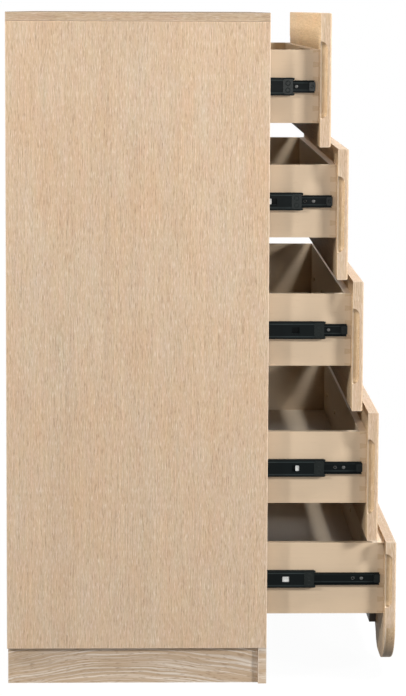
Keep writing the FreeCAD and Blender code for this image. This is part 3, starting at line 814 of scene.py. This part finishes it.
def ball_keepers(name, material):
    """The plastic ball keeper at the front end of each middle rail, with a nose in each lip."""
    mesh = bmesh.new()
    low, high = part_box(f"{name}_middle_slide_rails")
    for side in SIDES:
        sign = sideways(side)[0]
        place = middle_rail_spot(name, side, KEEPER_OUTLINE[0] / 2, 0.0)
        add_plate(mesh, place, rounded(*KEEPER_OUTLINE), KEEPER_THICK, KEEPER_EASE)
        for way, lip in ((-1, low.z + NOSE_FROM_LIP), (1, high.z - NOSE_FROM_LIP)):
            ring = place @ Matrix.Translation((0, way * KEEPER_RING_UP, KEEPER_THICK))
            add_ring(mesh, ring, *KEEPER_RING)
            nose = Matrix.Translation((sign * (high.x - NOSE_DEEP), low.y, lip)) @ forwards()
            add_plate(mesh, nose, rounded(*NOSE_OUTLINE), NOSE_LONG, NOSE_EASE)
    new_piece(f"{name}_ball_keepers", mesh, material, f"{name}_middle_rails")


def ball_cages(name, material):
    """The end of the ball cage that shows in each middle rail's window, with two ribs."""
    mesh = bmesh.new()
    back, long = CAGES[name]
    for side in SIDES:
        place = middle_rail_spot(name, side, back, SHEET + CAGE_THICK + CAGE_GAP)
        add_plate(mesh, place, rounded(long, CAGE_HIGH, CAGE_CORNER), CAGE_THICK, CAGE_EASE)
        for up in (-RIB_UP, RIB_UP):
            rib = place @ Matrix.Translation((0, up, CAGE_THICK))
            add_plate(mesh, rib, rounded(long * RIB_SHARE, RIB_HIGH, RIB_CORNER), RIB_THICK, RIB_EASE)
    new_piece(f"{name}_ball_cages", mesh, material, f"{name}_middle_rails")


def add_slide_details():
    rail_screws = zinc_steel("rail_screw_zinc", ZINC, RAIL_SCREW_METALLIC)
    box_screws = zinc_steel("box_screw_zinc", YELLOW_ZINC, BOX_SCREW_METALLIC)
    keeper = moulded("keeper_plastic", KEEPER, KEEPER_ROUGHNESS, KEEPER_GLOSS)
    cage = moulded("cage_nylon", NYLON, NYLON_ROUGHNESS, NYLON_GLOSS)
    for name in DRAWERS:
        rail_fasteners(name, rail_screws)
        box_fasteners(name, box_screws)
        drawer_latches(name, keeper)
        ball_keepers(name, keeper)
        ball_cages(name, cage)


# Stage

def build_floor():
    mesh = bpy.data.meshes.new("floor")
    corners = [(x * FLOOR_REACH, y * FLOOR_REACH, 0) for x, y in ((-1, -1), (1, -1), (1, 1), (-1, 1))]
    mesh.from_pydata(corners, [], [range(len(corners))])
    floor = bpy.data.objects.new("floor", mesh)
    bpy.context.scene.collection.objects.link(floor)
    shader = Shader("floor")
    shown = shader.shows_background()
    shader.coat(shader.blend(shown, rgba(FLOOR_SHADE), rgba(FLOOR_SHOWN)), FLOOR_ROUGHNESS, FLOOR_GLOSS)
    white = shader.add("ShaderNodeEmission", {"Color": rgba(WHITE)})
    away = shader.add("ShaderNodeVectorMath", {0: shader.place()}, operation="LENGTH").outputs["Value"]
    share = shader.between(shader.ramp(away, *FLOOR_FADE), FLOOR_WHITE, 1.0)
    both = shader.add("ShaderNodeMixShader", {0: shader.math("MULTIPLY", shown, share),
                                              1: shader.surface.outputs[0], 2: white.outputs[0]})
    shader.feed(shader.output.inputs["Surface"], both.outputs[0])
    mesh.materials.append(shader.material)


def build_sky():
    world = bpy.data.worlds.new("sky")
    bpy.context.scene.world = world
    world.use_nodes = True
    sky = NodeTree(world.node_tree)
    sky.tree.nodes.clear()
    light = sky.add("ShaderNodeBackground", {"Color": rgba(SKY_COLOUR), "Strength": SKY_STRENGTH})
    white = sky.add("ShaderNodeBackground", {"Color": rgba(WHITE)})
    both = sky.add("ShaderNodeMixShader", {0: sky.shows_background(), 1: light.outputs[0],
                                           2: white.outputs[0]})
    sky.add("ShaderNodeOutputWorld", {"Surface": both.outputs[0]})


def build_lamp(name, place, size, watts, colour):
    """A round soft box aimed at the middle of the chest."""
    data = bpy.data.lights.new(name, "AREA")
    data.shape = "DISK"
    data.size = size
    data.energy = watts
    data.color = colour
    lamp = bpy.data.objects.new(name, data)
    bpy.context.scene.collection.objects.link(lamp)
    lamp.location = place
    lamp.rotation_mode = "QUATERNION"
    lamp.rotation_quaternion = ((cad_low + cad_high) / 2 - lamp.location).to_track_quat("-Z", "Y")


def build_camera():
    data = bpy.data.cameras.new("camera")
    data.lens = CAMERA_LENS
    data.shift_y = CAMERA_SHIFT_Y
    camera = bpy.data.objects.new("camera", data)
    bpy.context.scene.collection.objects.link(camera)
    level = Vector((math.cos(CAMERA_YAW), math.sin(CAMERA_YAW), 0.0))
    right = Vector((math.sin(CAMERA_YAW), -math.cos(CAMERA_YAW), 0.0))
    up = Vector((0.0, 0.0, 1.0))
    forward = math.cos(CAMERA_DOWN) * level - math.sin(CAMERA_DOWN) * up
    up = math.sin(CAMERA_DOWN) * level + math.cos(CAMERA_DOWN) * up
    right, up = (math.cos(CAMERA_ROLL) * right + math.sin(CAMERA_ROLL) * up,
                 math.cos(CAMERA_ROLL) * up - math.sin(CAMERA_ROLL) * right)
    turn = Matrix((right, up, -forward)).transposed()
    camera.matrix_world = Matrix.Translation(CAMERA_PLACE) @ turn.to_4x4()
    bpy.context.scene.camera = camera


dress_case()
dress_drawers()
add_slide_details()
build_floor()
build_sky()
for soft_box in SOFT_BOXES:
    build_lamp(*soft_box)
build_camera()
bpy.context.scene.view_settings.view_transform = "Standard"
